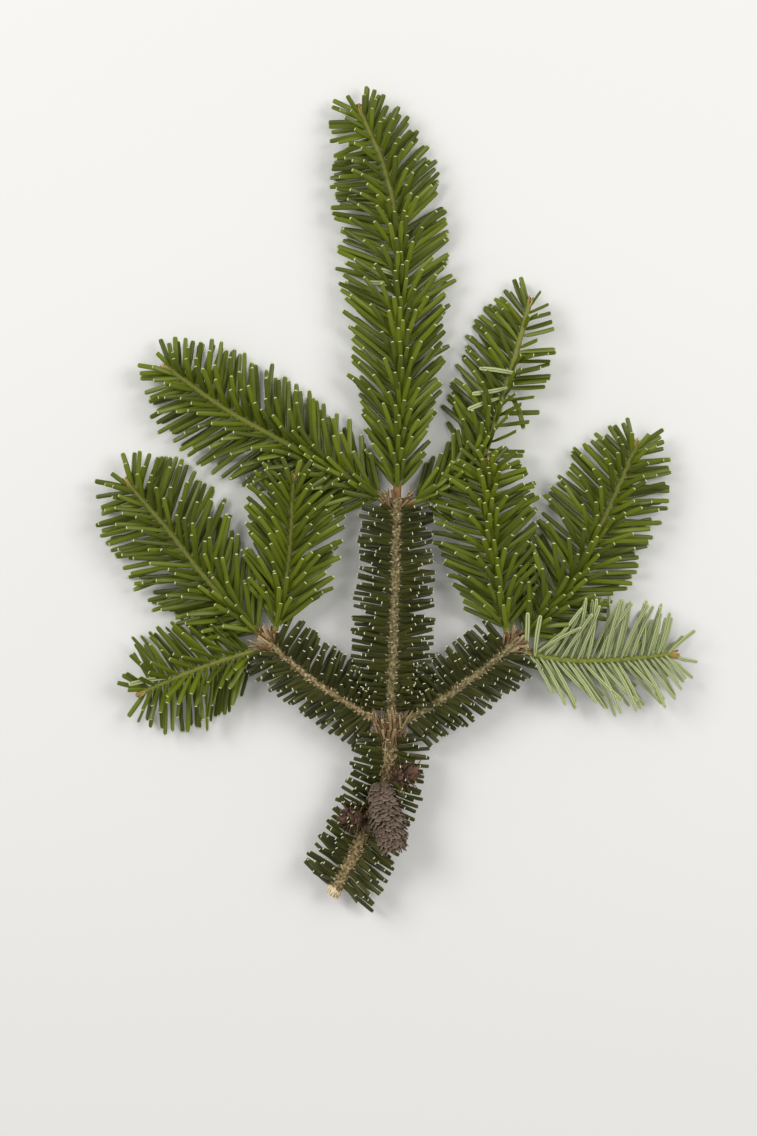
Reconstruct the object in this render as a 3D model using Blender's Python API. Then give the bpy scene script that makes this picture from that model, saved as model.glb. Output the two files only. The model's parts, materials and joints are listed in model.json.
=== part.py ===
"""Cut branch of a nordmann fir, lying flat with its leader towards +Y and its upper side up.

Every place and size below is in millimetres, in the branch's own frame: x to the right, y towards
the leader's tip, z up from the surface that the branch lies on. The last step moves the finished
branch so that the middle of its underside is the origin, and turns millimetres into metres.

Each limb is one tapering tube. Old wood carries two combs of needles, one along each side. Each
green shoot is a stem with its bud, with needles fused on by one seeded rule.
"""
import math
import random
from collections import namedtuple

import bmesh
import bpy
from mathutils import Matrix, Vector

# Units and clearances
METRES_PER_MM = 0.001
JOINT_GAP = 0.34          # between two faceted limbs that meet
NEEDLE_GAP = 0.3          # between needles of two different pieces
SURFACE_HEIGHT = 0.8      # a needle that reaches the surface lies this high along its middle

# Needles of the solids: fewer and broader than life, so that the shoots stay as full
YOUNG_WIDTH = 2.9
OLD_WIDTH = 2.5
NEEDLE_THICKNESS = 0.8
ROOT_SHARE = 0.55         # width at the root, as a share of the full width
TIP_SHARE = 0.8           # width at the blunt tip
ROOT_SINK = 0.35          # how far from a stem's middle a root starts, as a share of its radius
CROWDED_LENGTH = 2.5      # at its root a needle may pass close to other pieces for this length,
CROWDED_SHARE = 0.2       # or for this share of its own length where that is less
GOLDEN_ANGLE = math.radians(137.508)
SEED = 7724

# Stems
LIMB_SIDES = 8
SHOOT_SIDES = 6
LIMB_STEP = 9.0           # distance between the rings of a tube
SHOOT_STEP = 14.0
BUD_LENGTH = 4.0
BUD_RADIUS = 1.9
BUD_WIDEST = 0.4          # of its length
BUD_POINT_SHARE = 0.4     # of its radius

# Combs on old wood: a slim rib beside the bark that its needles grow from
RIB_RADIUS = 0.75
RIB_SIDES = 4
RIB_STEP = 12.0

# Shading, and colours, linear, with roughness
CREASE_ANGLE = math.radians(40.0)
BARK = ((0.110, 0.085, 0.048), 0.85)
GREY_BARK = ((0.120, 0.098, 0.065), 0.85)
YOUNG_GREEN = ((0.080, 0.108, 0.014), 0.42)
PALE_UNDERSIDE = ((0.250, 0.270, 0.125), 0.55)
OLD_GREEN = ((0.040, 0.060, 0.018), 0.45)
DRY_CONE = ((0.135, 0.098, 0.072), 0.9)
DRY_BUDS = ((0.090, 0.042, 0.024), 0.9)

# A limb runs through its points. The radii are those at its foot, middle and end.
Limb = namedtuple("Limb", "points radii paint")

# A comb grows along one side of a limb: +1 is its left, -1 its right, seen from above towards
# its end. trim is the bare length at the limb's foot and end. angles are the needles' angles to
# the limb at its foot and end, and lengths their lengths there.
Comb = namedtuple("Comb", "limb side trim angles lengths count")

# A shoot starts in the middle of its limb, its foot length before the limb's end, and runs through
# its points. left and right give the angles of the side needles to the stem at its foot, middle
# and tip. lengths are those of the longest left and right needles, and fullness is the share of
# the needles that each side keeps. parted is where along the stem its top starts to open, and
# roll turns the shoot about its stem.
Shoot = namedtuple(
    "Shoot", "limb foot points radii left right lengths fullness parted roll count paint")
MIDDLE_FOOT = 1.2
SIDE_FOOT = 4.0
BARE_LENGTH = 4.0         # of a stem past its foot, where it has no needles

LIMBS = {
    "main_stem": Limb(
        [(-28.3, -168.0, 8.4), (-14.9, -142.4, 9.4), (-5.3, -118.1, 10.4), (-3.8, -96.2, 11.0)],
        (3.0, 2.7, 3.9), BARK),
    "middle_bough": Limb(
        [(-3.7, -97.5, 11.0), (-1.7, -42.0, 10.6), (-0.8, -0.8, 10.4)], (2.6, 2.3, 3.6), GREY_BARK),
    "left_bough": Limb(
        [(-5.0, -97.0, 10.9), (-32.5, -80.1, 10.3), (-56.6, -60.4, 10.0)], (1.9, 1.7, 3.0), BARK),
    "right_bough": Limb(
        [(-2.6, -97.4, 10.9), (23.9, -81.5, 10.3), (49.8, -61.3, 10.0)], (2.1, 1.9, 3.1), GREY_BARK),
}
CUT_PLANE_POINT = (-26.7, -165.0, 8.5)
CUT_PLANE_NORMAL = (-0.69, -0.72, 0.0)

COMBS = {
    "main_stem_needles_left": Comb("main_stem", 1, (3.0, 6.5), (80.0, 82.0), (12.5, 10.0), 24),
    "main_stem_needles_right": Comb("main_stem", -1, (7.0, 6.5), (98.0, 86.0), (14.0, 11.5), 23),
    "middle_bough_needles_left": Comb("middle_bough", 1, (9.0, 6.5), (84.0, 80.0), (14.0, 11.5), 30),
    "middle_bough_needles_right": Comb("middle_bough", -1, (9.0, 6.5), (84.0, 80.0), (13.5, 11.5), 30),
    "left_bough_needles_inner": Comb("left_bough", -1, (10.5, 6.0), (82.0, 78.0), (14.5, 13.0), 19),
    "left_bough_needles_outer": Comb("left_bough", 1, (7.5, 6.0), (72.0, 64.0), (12.0, 13.0), 20),
    "right_bough_needles_inner": Comb("right_bough", 1, (10.5, 6.0), (92.0, 90.0), (13.5, 12.5), 19),
    "right_bough_needles_outer": Comb("right_bough", -1, (7.5, 6.0), (72.0, 66.0), (12.0, 13.5), 20),
}

SHOOTS = {
    "leader_shoot": Shoot(
        "middle_bough", MIDDLE_FOOT,
        [(0.6, 55.0, 10.6), (-0.2, 107.3, 10.2), (-5.8, 137.0, 9.8), (-16.0, 161.5, 9.4)],
        (1.75, 1.2), (38.0, 62.0, 88.0), (38.0, 56.0, 58.0), (26.5, 24.5), (1.0, 1.0), 0.62, 0.0, 92,
        YOUNG_GREEN),
    "upper_left_shoot": Shoot(
        "middle_bough", SIDE_FOOT,
        [(-45.6, 21.2, 9.4), (-72.7, 36.4, 9.4), (-96.8, 53.7, 9.6)],
        (1.6, 1.1), (52.0, 60.0, 62.0), (48.0, 62.0, 66.0), (27.0, 26.5), (1.0, 1.0), 0.72, 0.0, 62,
        YOUNG_GREEN),
    "upper_right_shoot": Shoot(
        "middle_bough", SIDE_FOOT,
        [(29.6, 8.2, 8.6), (43.4, 40.8, 9.4), (54.9, 80.9, 10.0)],
        (1.6, 1.1), (56.0, 66.0, 70.0), (62.0, 74.0, 66.0), (26.0, 17.0), (1.0, 0.6), 0.9, -26.0, 64,
        YOUNG_GREEN),
    "left_outer_shoot": Shoot(
        "left_bough", MIDDLE_FOOT,
        [(-79.9, -36.0, 9.4), (-96.1, -15.3, 9.4), (-113.5, 5.0, 9.6)],
        (1.5, 1.1), (58.0, 64.0, 66.0), (44.0, 60.0, 62.0), (27.0, 28.0), (1.0, 1.0), 0.7, 0.0, 56,
        YOUNG_GREEN),
    "left_inner_shoot": Shoot(
        "left_bough", SIDE_FOOT,
        [(-46.6, -30.0, 12.4), (-44.1, 6.9, 15.4)],
        (1.4, 1.0), (42.0, 52.0, 50.0), (40.0, 52.0, 50.0), (25.0, 25.5), (1.0, 1.0), 0.2, 0.0, 42,
        YOUNG_GREEN),
    "left_lower_shoot": Shoot(
        "left_bough", SIDE_FOOT,
        [(-81.1, -71.4, 9.4), (-107.6, -82.3, 9.4)],
        (1.35, 1.0), (54.0, 74.0, 66.0), (56.0, 70.0, 86.0), (24.5, 24.0), (1.0, 1.0), 0.3, 0.0, 40,
        YOUNG_GREEN),
    "right_inner_shoot": Shoot(
        "right_bough", SIDE_FOOT,
        [(41.0, -34.0, 12.6), (37.0, -8.0, 15.2), (37.2, 13.0, 17.6)],
        (1.45, 1.0), (44.0, 66.0, 70.0), (44.0, 62.0, 76.0), (24.0, 23.0), (1.0, 1.0), 0.9, 0.0, 46,
        YOUNG_GREEN),
    "right_outer_shoot": Shoot(
        "right_bough", MIDDLE_FOOT,
        [(70.6, -38.6, 9.6), (84.6, -13.0, 9.6), (99.7, 21.3, 9.8)],
        (1.5, 1.1), (58.0, 72.0, 72.0), (50.0, 60.0, 62.0), (26.0, 24.5), (1.0, 1.0), 0.76, 0.0, 60,
        YOUNG_GREEN),
    "right_lower_shoot": Shoot(
        "right_bough", SIDE_FOOT,
        [(66.6, -68.7, 9.6), (90.0, -69.0, 9.6), (114.5, -66.5, 9.6)],
        (1.4, 1.0), (36.0, 56.0, 58.0), (52.0, 74.0, 66.0), (24.0, 27.0), (1.0, 1.0), 0.0, 180.0, 42,
        PALE_UNDERSIDE),
}

# How a shoot's needles stand: top ones point forwards and are shorter, and the lowest spread out
TOP_ANGLE = 34.0
TOP_ANGLE_POWER = 1.5     # how late, towards the top, a needle turns from its side's angle to that
TOP_RISE = 66.0
PARTED_RISE = 36.0
OPENING_SHARE = 0.12      # of the stem, along which its top opens
UNDER_DROP = 24.0
TOP_LENGTH_SHARE = 0.64
LENGTH_SHAPE = (0.55, 0.92, 1.0, 1.0, 0.92, 0.5)     # from a shoot's foot to its tip
ROSETTE = 0.07            # the last share of a stem, where the needles close round the bud
ROSETTE_ANGLE_SHARE = 0.45
ANGLE_SPREAD = 5.0
LENGTH_SPREAD = 0.05

# A comb's needles rise in this order along the rib, and those that stand up most are short
COMB_RISES = (8.0, 52.0, -24.0, 30.0)
COMB_SHORT_SHARE = 0.62

# A needle that would touch another piece is tried again with these changes of rise and length
RETRIES = ((0.0, 1.0), (14.0, 1.0), (-14.0, 1.0), (26.0, 0.9), (0.0, 0.72), (20.0, 0.7), (0.0, 0.5))

# Fruit: a body of scale rings round an axis from its stalk to its free end
Fruit = namedtuple("Fruit", "stalk_foot start end radii rings sides paint")
FRUIT = {
    "old_cone": Fruit(
        (-6.6, -119.6, 12.2), (-8.6, -119.6, 18.6), (-2.6, -146.0, 20.6),
        (3.2, 5.6, 7.2, 7.6, 5.8), 9, 10, DRY_CONE),
    "bud_cluster_right": Fruit(
        (-4.0, -118.8, 11.4), (-1.4, -118.2, 15.8), (5.4, -115.4, 18.4),
        (3.4, 5.0, 4.6, 2.6), 4, 8, DRY_BUDS),
    "bud_cluster_left": Fruit(
        (-12.8, -136.4, 10.6), (-15.2, -135.8, 15.0), (-22.6, -134.2, 16.6),
        (2.8, 4.4, 4.2, 2.4), 4, 8, DRY_BUDS),
}
SCALE_STEP = 0.72         # a scale ring's foot, as a share of its outer radius
SCALE_SHARE = 0.7         # how far along its ring a scale is widest
STALK_RADIUS = 1.1
STALK_SIDES = 6
STALK_SHARE = 0.3         # how far along the fruit its stalk ends inside it


# Paths and frames

def smooth_path(points, step):
    """Return points about a step apart on a smooth curve through the given ones."""
    knots = [Vector(point) for point in points]
    first = knots[0] * 2.0 - knots[1]
    last = knots[-1] * 2.0 - knots[-2]
    knots = [first] + knots + [last]
    path = []
    for before, start, end, after in zip(knots, knots[1:], knots[2:], knots[3:]):
        pieces = max(1, round((end - start).length / step))
        for piece in range(pieces):
            t = piece / pieces
            path.append(0.5 * (2.0 * start + (end - before) * t
                               + (2.0 * before - 5.0 * start + 4.0 * end - after) * t ** 2
                               + (3.0 * start - before - 3.0 * end + after) * t ** 3))
    path.append(knots[-2])
    return path


def frame_of(forward, roll=0.0):
    """Return the left and the up direction across a limb that runs forwards."""
    left = Vector((0.0, 0.0, 1.0)).cross(forward).normalized()
    up = forward.cross(left).normalized()
    turn = Matrix.Rotation(math.radians(roll), 3, forward)
    return turn @ left, turn @ up


def direction_at(path, index):
    """Return the direction of a path at one of its points."""
    before = path[max(index - 1, 0)]
    after = path[min(index + 1, len(path) - 1)]
    return (after - before).normalized()


def point_at(path, share):
    """Return the place and the direction at a share of a path's length."""
    spans = [(end - start).length for start, end in zip(path, path[1:])]
    left_over = share * sum(spans)
    for start, end, span in zip(path, path[1:], spans):
        if left_over <= span:
            return start.lerp(end, left_over / span), (end - start).normalized()
        left_over -= span
    return path[-1], (path[-1] - path[-2]).normalized()


def path_length(path):
    return sum((end - start).length for start, end in zip(path, path[1:]))


def profile(values, share):
    """Return the value at a share of the way along evenly spaced values."""
    place = min(max(share, 0.0), 1.0) * (len(values) - 1)
    index = min(int(place), len(values) - 2)
    return values[index] + (values[index + 1] - values[index]) * (place - index)


# Meshes

def ring_points(centre, forward, radius, sides):
    left, up = frame_of(forward)
    corners = [2.0 * math.pi * (side + 0.5) / sides for side in range(sides)]
    return [centre + radius * (math.cos(corner) * left + math.sin(corner) * up) for corner in corners]


def mesh_of_rings(name, rings):
    """Return a closed mesh that joins rings of points and caps the first and the last."""
    bm = bmesh.new()
    loops = [[bm.verts.new(point) for point in ring] for ring in rings]
    for near, far in zip(loops, loops[1:]):
        for index in range(len(near)):
            after = (index + 1) % len(near)
            bm.faces.new((near[index], near[after], far[after], far[index]))
    bm.faces.new(loops[0])
    bm.faces.new(loops[-1])
    bmesh.ops.recalc_face_normals(bm, faces=bm.faces)
    mesh = bpy.data.meshes.new(name)
    bm.to_mesh(mesh)
    bm.free()
    return mesh


def add_object(name, mesh, collection=None):
    obj = bpy.data.objects.new(name, mesh)
    (collection or bpy.context.scene.collection).objects.link(obj)
    return obj


def add_tube(name, path, radii, sides, collection=None):
    """Add a closed tube along a path, with one radius for each of its points."""
    rings = [ring_points(point, direction_at(path, index), radius, sides)
             for index, (point, radius) in enumerate(zip(path, radii))]
    return add_object(name, mesh_of_rings(name, rings), collection)


def add_needle(name, needle, collection):
    """Add a needle of eight faces: flat above, with a keel below, and narrower at its root."""
    across = needle.direction.cross(needle.face).normalized()
    face = across.cross(needle.direction).normalized()
    tip = needle.root + needle.direction * needle.length
    rings = []
    for centre, share in ((needle.root, ROOT_SHARE), (tip, TIP_SHARE)):
        half_width = across * needle.width * share / 2.0
        half_thickness = face * NEEDLE_THICKNESS / 2.0
        rings.append([centre - half_width + half_thickness,
                      centre - half_thickness,
                      centre + half_width + half_thickness])
    return add_object(name, mesh_of_rings(name, rings), collection)


def islands_of(bm):
    """Return the separate bodies of a mesh as lists of faces."""
    bodies = []
    seen = set()
    for start in bm.faces:
        if start in seen:
            continue
        body = []
        waiting = [start]
        seen.add(start)
        while waiting:
            face = waiting.pop()
            body.append(face)
            for edge in face.edges:
                for neighbour in edge.link_faces:
                    if neighbour not in seen:
                        seen.add(neighbour)
                        waiting.append(neighbour)
        bodies.append(body)
    return bodies


def signed_volume(faces):
    volume = 0.0
    for face in faces:
        corners = [vert.co for vert in face.verts]
        for second, third in zip(corners[1:], corners[2:]):
            volume += corners[0].dot(second.cross(third)) / 6.0
    return volume


def keep_largest_body(mesh):
    """Drop loose scraps and the walls of sealed hollows, so that one solid is left."""
    bm = bmesh.new()
    bm.from_mesh(mesh)
    bodies = sorted(islands_of(bm), key=signed_volume)
    scraps = [face for body in bodies[:-1] for face in body]
    bmesh.ops.delete(bm, geom=scraps, context="FACES")
    bm.to_mesh(mesh)
    bm.free()


def apply_boolean(obj, operation, collection):
    """Join or cut an object with a collection's objects, then remove those."""
    modifier = obj.modifiers.new("Boolean", "BOOLEAN")
    modifier.operation = operation
    modifier.operand_type = "COLLECTION"
    modifier.collection = collection
    modifier.solver = "EXACT"
    evaluated = obj.evaluated_get(bpy.context.evaluated_depsgraph_get())
    mesh = bpy.data.meshes.new_from_object(evaluated)
    obj.modifiers.remove(modifier)
    plain = obj.data
    obj.data = mesh
    bpy.data.meshes.remove(plain)
    for operand in list(collection.objects):
        bpy.data.objects.remove(operand)
    bpy.data.collections.remove(collection)
    keep_largest_body(mesh)


def new_collection(name):
    collection = bpy.data.collections.new(name)
    bpy.context.scene.collection.children.link(collection)
    return collection


# Space: each piece claims beads, and a needle that would touch another piece's beads is refused

Bead = namedtuple("Bead", "owner place radius")
BEAD_STEP = 2.0
CELL = 8.0


class Space:
    def __init__(self):
        self.cells = {}

    def key(self, place):
        return tuple(math.floor(value / CELL) for value in place)

    def claim(self, owner, start, end, radius):
        for place in beads_between(start, end):
            self.cells.setdefault(self.key(place), []).append(Bead(owner, place, radius))

    def is_free(self, owner, start, end, radius):
        for place in beads_between(start, end):
            middle = self.key(place)
            for x in (-1, 0, 1):
                for y in (-1, 0, 1):
                    for z in (-1, 0, 1):
                        cell = (middle[0] + x, middle[1] + y, middle[2] + z)
                        for bead in self.cells.get(cell, ()):
                            reach = radius + bead.radius + NEEDLE_GAP
                            if bead.owner != owner and (bead.place - place).length < reach:
                                return False
        return True


def beads_between(start, end):
    steps = max(1, math.ceil((end - start).length / BEAD_STEP))
    return [start.lerp(end, step / steps) for step in range(steps + 1)]


# Limbs

def limb_path(limb):
    return smooth_path(limb.points, LIMB_STEP)


def limb_radii(limb, path):
    """Return a limb's radii: even along its length, with the swelling only near its end."""
    foot, middle, end = limb.radii
    length = path_length(path)
    radii = []
    for index in range(len(path)):
        share = index / (len(path) - 1)
        to_end = (1.0 - share) * length
        swelling = max(0.0, 1.0 - to_end / LIMB_STEP)
        radii.append(foot + (middle - foot) * share + (end - middle) * swelling)
    return radii


def add_clearance(limb, collection):
    """Add a limb's shape with the joint gap round it, as a cutter for what meets the limb."""
    path = limb_path(limb)
    radii = [radius + JOINT_GAP for radius in limb_radii(limb, path)]
    path[0] = path[0] - direction_at(path, 0) * JOINT_GAP
    path[-1] = path[-1] + direction_at(path, len(path) - 1) * JOINT_GAP
    return add_tube("clearance", path, radii, LIMB_SIDES, collection)


def cut_clear_of(obj, limb_names):
    collection = new_collection("cutters")
    for limb_name in limb_names:
        add_clearance(LIMBS[limb_name], collection)
    apply_boolean(obj, "DIFFERENCE", collection)


def cut_stem_flat(mesh):
    """Cut the main stem's foot off along the slanting plane of the real cut."""
    bm = bmesh.new()
    bm.from_mesh(mesh)
    everything = bm.verts[:] + bm.edges[:] + bm.faces[:]
    cut = bmesh.ops.bisect_plane(bm, geom=everything, plane_co=CUT_PLANE_POINT,
                                 plane_no=CUT_PLANE_NORMAL, clear_outer=True)
    rim = [item for item in cut["geom_cut"] if isinstance(item, bmesh.types.BMEdge)]
    bmesh.ops.contextual_create(bm, geom=rim)
    bmesh.ops.recalc_face_normals(bm, faces=bm.faces)
    bm.to_mesh(mesh)
    bm.free()


def build_limbs(space):
    built = []
    for name, limb in LIMBS.items():
        path = limb_path(limb)
        radii = limb_radii(limb, path)
        obj = add_tube(name, path, radii, LIMB_SIDES)
        if built:
            cut_clear_of(obj, built)
        else:
            cut_stem_flat(obj.data)
        for start, end, radius in zip(path, path[1:], radii):
            space.claim(name, start, end, radius)
        paint(obj, limb.paint)
        built.append(name)


# Needles

Needle = namedtuple("Needle", "root direction face length width")


def lay_on_surface(root, direction, length):
    """Bend a needle up just far enough that its tip rests on the surface."""
    if root.z + direction.z * length >= SURFACE_HEIGHT:
        return direction
    slope = (SURFACE_HEIGHT - root.z) / length
    flat = Vector((direction.x, direction.y, 0.0)).normalized()
    return (flat * math.sqrt(max(0.0, 1.0 - slope * slope)) + Vector((0.0, 0.0, slope))).normalized()


def aim(forward, outward, up, angle, rise):
    """Return a direction at an angle to the stem, turned up from its side by the rise."""
    sideways = outward * math.cos(math.radians(rise)) + up * math.sin(math.radians(rise))
    return forward * math.cos(math.radians(angle)) + sideways * math.sin(math.radians(angle))


def try_needle(space, owner, root, frame, aim_at, width):
    """Return the first needle of the retries that keeps clear of all other pieces, or None."""
    forward, outward, up = frame
    angle, rise, length = aim_at
    for extra_rise, length_share in RETRIES:
        direction = aim(forward, outward, up, angle, rise + extra_rise)
        direction = lay_on_surface(root, direction, length * length_share)
        tip = root + direction * length * length_share
        start = root + direction * min(CROWDED_LENGTH, length * CROWDED_SHARE)
        if space.is_free(owner, start, tip, width / 2.0):
            space.claim(owner, start, tip, width / 2.0)
            return Needle(root, direction, up, length * length_share, width)
    return None


def shoot_path(shoot):
    """Return a shoot's path, from inside its limb's end to its tip."""
    limb = limb_path(LIMBS[shoot.limb])
    foot = limb[-1] - direction_at(limb, len(limb) - 1) * shoot.foot
    return smooth_path([foot] + shoot.points, SHOOT_STEP)


def shoot_needle(space, name, shoot, path, index, rng):
    """Return one needle of a shoot: its turn round the stem sets its side, rise and length."""
    bare = (shoot.foot + BARE_LENGTH) / path_length(path)
    share = bare + (1.0 - bare) * (index + 0.5) / shoot.count
    place, forward = point_at(path, share)
    left, up = frame_of(forward, shoot.roll)
    turn = index * GOLDEN_ANGLE
    is_left = math.sin(turn) >= 0.0
    height = math.cos(turn)
    side_angle = profile(shoot.left if is_left else shoot.right, share)
    opening = min(1.0, max(0.0, (share - shoot.parted) / OPENING_SHARE))
    top_rise = TOP_RISE + (PARTED_RISE - TOP_RISE) * opening
    if height > 0.0:
        angle = side_angle + (TOP_ANGLE - side_angle) * height ** TOP_ANGLE_POWER
        rise = top_rise * height
        length_share = 1.0 - (1.0 - TOP_LENGTH_SHARE) * height
    else:
        angle = side_angle
        rise = UNDER_DROP * height
        length_share = 1.0
    closing = max(0.0, 1.0 - (1.0 - share) / ROSETTE)
    angle *= 1.0 - (1.0 - ROSETTE_ANGLE_SHARE) * closing
    angle += rng.uniform(-ANGLE_SPREAD, ANGLE_SPREAD)
    length = shoot.lengths[0 if is_left else 1] * length_share * profile(LENGTH_SHAPE, share)
    length *= 1.0 + rng.uniform(-LENGTH_SPREAD, LENGTH_SPREAD)
    if rng.random() > shoot.fullness[0 if is_left else 1]:
        return None
    outward = left if is_left else -left
    radius = profile(shoot.radii, share)
    round_stem = outward * abs(math.sin(turn)) + up * height
    root = place + round_stem * radius * ROOT_SINK
    return try_needle(space, name, root, (forward, outward, up), (angle, rise, length), YOUNG_WIDTH)


def rib_path(comb):
    """Return the rib's path: beside the limb, clear of its bark, and trimmed at both ends."""
    limb = LIMBS[comb.limb]
    path = limb_path(limb)
    radii = limb_radii(limb, path)
    length = path_length(path)
    first = comb.trim[0] / length
    last = 1.0 - comb.trim[1] / length
    count = max(3, round((last - first) * length / RIB_STEP) + 1)
    rib = []
    for index in range(count):
        share = first + (last - first) * index / (count - 1)
        place, forward = point_at(path, share)
        left, _ = frame_of(forward)
        reach = profile(radii, share) + RIB_RADIUS + JOINT_GAP
        rib.append(place + left * comb.side * reach)
    return rib


def comb_needle(space, name, comb, path, index, rng):
    share = (index + 0.5) / comb.count
    place, forward = point_at(path, share)
    left, up = frame_of(forward)
    rise = COMB_RISES[index % len(COMB_RISES)]
    angle = profile(comb.angles, share) + rng.uniform(-ANGLE_SPREAD, ANGLE_SPREAD)
    length = profile(comb.lengths, share) * (1.0 + rng.uniform(-LENGTH_SPREAD, LENGTH_SPREAD))
    if rise == max(COMB_RISES):
        length *= COMB_SHORT_SHARE
    outward = left * comb.side
    root = place + outward * RIB_RADIUS * ROOT_SINK
    return try_needle(space, name, root, (forward, outward, up), (angle, rise, length), OLD_WIDTH)


def fuse_needles(obj, needles):
    collection = new_collection(obj.name + "_needles")
    for index, needle in enumerate(needles):
        add_needle(f"needle_{index}", needle, collection)
    apply_boolean(obj, "UNION", collection)


# Pieces

def paint(obj, colour_and_roughness):
    """Give a piece its own material and smooth, creased shading."""
    colour, roughness = colour_and_roughness
    material = bpy.data.materials.new(obj.name)
    material.use_nodes = True
    shader = material.node_tree.nodes["Principled BSDF"]
    shader.inputs["Base Color"].default_value = (*colour, 1.0)
    shader.inputs["Roughness"].default_value = roughness
    shader.inputs["Metallic"].default_value = 0.0
    obj.data.materials.clear()
    obj.data.materials.append(material)
    obj.data.shade_smooth()
    obj.data.set_sharp_from_angle(angle=CREASE_ANGLE)


def build_fruit(space):
    """Add the cone and the bud clusters: rings of scales on a stalk that meets the main stem."""
    for name, fruit in FRUIT.items():
        start = Vector(fruit.start)
        end = Vector(fruit.end)
        forward = (end - start).normalized()
        rings = []
        for ring in range(fruit.rings):
            outer = profile(fruit.radii, ring / (fruit.rings - 1))
            near = start.lerp(end, ring / fruit.rings)
            far = start.lerp(end, (ring + SCALE_SHARE) / fruit.rings)
            rings.append(ring_points(near, forward, outer * SCALE_STEP, fruit.sides))
            rings.append(ring_points(far, forward, outer, fruit.sides))
        body = add_object(name, mesh_of_rings(name, rings))
        stalk_collection = new_collection("stalk")
        add_tube("stalk", [Vector(fruit.stalk_foot), start.lerp(end, STALK_SHARE)],
                 [STALK_RADIUS, STALK_RADIUS], STALK_SIDES, stalk_collection)
        apply_boolean(body, "UNION", stalk_collection)
        cut_clear_of(body, ["main_stem"])
        space.claim(name, start, end, max(fruit.radii))
        paint(body, fruit.paint)


def build_masses(space):
    """Add the combs and shoots, whose needles take their places turn by turn."""
    rng = random.Random(SEED)
    paths = {}
    for name, comb in COMBS.items():
        paths[name] = rib_path(comb)
        for start, end in zip(paths[name], paths[name][1:]):
            space.claim(name, start, end, RIB_RADIUS)
    for name, shoot in SHOOTS.items():
        paths[name] = shoot_path(shoot)
        for start, end in zip(paths[name], paths[name][1:]):
            space.claim(name, start, end, shoot.radii[0])
        space.claim(name, *bud_points(paths[name]), BUD_RADIUS)
    masses = {**COMBS, **SHOOTS}
    needles = {name: [] for name in masses}
    for turn in range(max(mass.count for mass in masses.values())):
        for name, mass in masses.items():
            if turn >= mass.count:
                continue
            grow = comb_needle if name in COMBS else shoot_needle
            needle = grow(space, name, mass, paths[name], turn, rng)
            if needle:
                needles[name].append(needle)
    for name, comb in COMBS.items():
        rib = add_tube(name, paths[name], [RIB_RADIUS] * len(paths[name]), RIB_SIDES)
        fuse_needles(rib, needles[name])
        paint(rib, OLD_GREEN)
    for name, shoot in SHOOTS.items():
        stem = add_shoot_stem(name, shoot, paths[name])
        cut_clear_of(stem, LIMBS)
        fuse_needles(stem, needles[name])
        paint(stem, shoot.paint)


def bud_points(path):
    """Return the widest place and the point of the bud at the end of a shoot's path."""
    forward = direction_at(path, len(path) - 1)
    return [path[-1] + forward * BUD_LENGTH * BUD_WIDEST, path[-1] + forward * BUD_LENGTH]


def add_shoot_stem(name, shoot, path):
    """Add a shoot's stem, from inside its limb's end to the point of its bud."""
    radii = [profile(shoot.radii, index / (len(path) - 1)) for index in range(len(path))]
    radii += [BUD_RADIUS, BUD_RADIUS * BUD_POINT_SHARE]
    return add_tube(name, path + bud_points(path), radii, SHOOT_SIDES)


def settle(objects):
    """Put the middle of the branch's underside at the origin and turn millimetres into metres."""
    corners = [vert.co for obj in objects for vert in obj.data.vertices]
    low = Vector([min(corner[axis] for corner in corners) for axis in range(3)])
    high = Vector([max(corner[axis] for corner in corners) for axis in range(3)])
    middle = (low + high) / 2.0
    foot = Vector((middle.x, middle.y, low.z))
    change = Matrix.Scale(METRES_PER_MM, 4) @ Matrix.Translation(-foot)
    for obj in objects:
        obj.data.transform(change)


def clear_scene():
    for obj in list(bpy.data.objects):
        bpy.data.objects.remove(obj)


def main():
    clear_scene()
    space = Space()
    build_limbs(space)
    build_fruit(space)
    build_masses(space)
    settle([obj for obj in bpy.context.scene.objects if obj.type == "MESH"])


main()
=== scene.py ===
"""Looks of the cut nordmann fir branch, seen from straight above on a pale floor.

Places and sizes are in millimetres, in the branch's own frame: x to the right, y towards the
leader's tip, z up from the surface that the branch lies on. to_part() turns them into the part's
metres. The needles grow by the rule of the part's solids, but finer and more of them.
"""
import json
import math
import random
from collections import namedtuple

import bpy
import numpy as np
from mathutils import Matrix, Vector, noise


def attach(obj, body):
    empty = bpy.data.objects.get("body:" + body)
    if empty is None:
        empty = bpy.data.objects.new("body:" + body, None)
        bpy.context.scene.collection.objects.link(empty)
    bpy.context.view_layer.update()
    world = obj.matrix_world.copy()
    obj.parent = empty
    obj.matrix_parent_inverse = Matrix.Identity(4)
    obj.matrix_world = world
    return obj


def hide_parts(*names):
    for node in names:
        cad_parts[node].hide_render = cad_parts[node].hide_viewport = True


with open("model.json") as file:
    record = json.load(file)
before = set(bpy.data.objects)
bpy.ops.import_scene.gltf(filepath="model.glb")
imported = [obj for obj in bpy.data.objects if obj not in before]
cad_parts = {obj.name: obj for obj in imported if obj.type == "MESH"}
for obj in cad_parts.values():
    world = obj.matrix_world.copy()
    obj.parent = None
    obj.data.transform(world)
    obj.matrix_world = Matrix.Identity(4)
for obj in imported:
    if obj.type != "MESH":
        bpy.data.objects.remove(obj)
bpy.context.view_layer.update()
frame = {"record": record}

# The limbs and shoots, on the same paths as in the part

SEED = 7724
GOLDEN_ANGLE = math.radians(137.508)
CUT_POINT = (-26.7, -165.0, 8.5)
CUT_NORMAL = (-0.69, -0.72, 0.0)

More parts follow.
